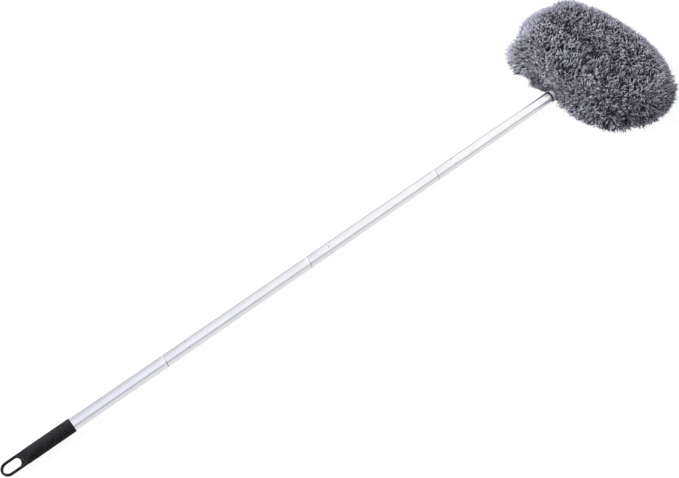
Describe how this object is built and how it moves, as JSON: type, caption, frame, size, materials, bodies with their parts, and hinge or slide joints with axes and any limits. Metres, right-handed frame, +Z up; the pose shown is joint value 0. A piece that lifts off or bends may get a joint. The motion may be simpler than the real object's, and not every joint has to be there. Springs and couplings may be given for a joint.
{
  "type": "ceiling fan duster",
  "caption": "Ceiling fan duster: a pole of screw-together aluminium tubes, a black grip with a hanging eye, and an oval ring of grey microfibre pile on a bent wire.",
  "frame": {"origin": "middle of the footprint, on the surface that the duster lies on", "axes": "+X along the pole from the grip to the head, +Z up from the surface, +Y to the side that the head leans to"},
  "size_m": [1.454, 0.3376, 0.0622],
  "materials": {
    "black_grip": "soft black sleeve with a dull mottled bloom",
    "satin_aluminium": "satin anodised tube, drawn along its length",
    "white_nylon": "plain moulded nylon",
    "black_plastic": "fine-grained moulded plastic",
    "spring_steel": "bright drawn wire",
    "grey_sheath": "soft extruded tube",
    "grey_pile": "curly cool grey microfibre pile"
  },
  "bodies": {
    "handle_section": {"handle_grip": "black_grip", "pole_tube_1": "satin_aluminium", "threaded_plug_1": "black_plastic"},
    "ring_1": {"joint_ring_1": "white_nylon"},
    "section_2": {"pole_tube_2": "satin_aluminium", "threaded_socket_2": "black_plastic", "threaded_plug_2": "black_plastic"},
    "ring_2": {"joint_ring_2": "white_nylon"},
    "section_3": {"pole_tube_3": "satin_aluminium", "threaded_socket_3": "black_plastic", "threaded_plug_3": "black_plastic"},
    "ring_3": {"joint_ring_3": "white_nylon"},
    "section_4": {"pole_tube_4": "satin_aluminium", "threaded_socket_4": "black_plastic", "threaded_plug_4": "black_plastic"},
    "ring_4": {"end_ring": "black_plastic"},
    "head": {"neck_body": "black_plastic", "neck_cover": "black_plastic", "neck_screw_1": "spring_steel", "neck_screw_2": "spring_steel", "frame_wire": "spring_steel", "frame_sheath": "grey_sheath", "pile_slice_01": "grey_pile", "pile_slice_02": "grey_pile", "pile_slice_03": "grey_pile", "pile_slice_04": "grey_pile", "pile_slice_05": "grey_pile", "pile_slice_06": "grey_pile", "pile_slice_07": "grey_pile", "pile_slice_08": "grey_pile", "pile_slice_09": "grey_pile", "pile_slice_10": "grey_pile", "pile_slice_11": "grey_pile", "pile_slice_12": "grey_pile", "pile_slice_13": "grey_pile", "pile_slice_14": "grey_pile", "sleeve_cuff": "grey_pile"}
  },
  "joints": [
    {"name": "section_2_unscrew", "type": "hinge", "parent": "handle_section", "child": "ring_1", "pos_m": [-0.427, -0.00815, 0.0122], "axis": [1, 0, 0], "range_deg": [0, 1440]},
    {"name": "section_2_draw_off", "type": "slide", "parent": "ring_1", "child": "section_2", "axis": [1, 0, 0], "range_m": [0, 0.0201]},
    {"name": "section_3_unscrew", "type": "hinge", "parent": "section_2", "child": "ring_2", "pos_m": [-0.127, -0.00815, 0.0122], "axis": [1, 0, 0], "range_deg": [0, 1440]},
    {"name": "section_3_draw_off", "type": "slide", "parent": "ring_2", "child": "section_3", "axis": [1, 0, 0], "range_m": [0, 0.0201]},
    {"name": "section_4_unscrew", "type": "hinge", "parent": "section_3", "child": "ring_3", "pos_m": [0.173, -0.00815, 0.0122], "axis": [1, 0, 0], "range_deg": [0, 1440]},
    {"name": "section_4_draw_off", "type": "slide", "parent": "ring_3", "child": "section_4", "axis": [1, 0, 0], "range_m": [0, 0.0201]},
    {"name": "head_unscrew", "type": "hinge", "parent": "section_4", "child": "ring_4", "pos_m": [0.473, -0.00815, 0.0122], "axis": [1, 0, 0], "range_deg": [0, 1440]},
    {"name": "head_draw_off", "type": "slide", "parent": "ring_4", "child": "head", "axis": [1, 0, 0], "range_m": [0, 0.0201]}
  ],
  "couplings": [
    {"joint": "section_2_draw_off", "follows": "section_2_unscrew", "m_per_rad": 0.00079577},
    {"joint": "section_3_draw_off", "follows": "section_3_unscrew", "m_per_rad": 0.00079577},
    {"joint": "section_4_draw_off", "follows": "section_4_unscrew", "m_per_rad": 0.00079577},
    {"joint": "head_draw_off", "follows": "head_unscrew", "m_per_rad": 0.00079577}
  ]
}
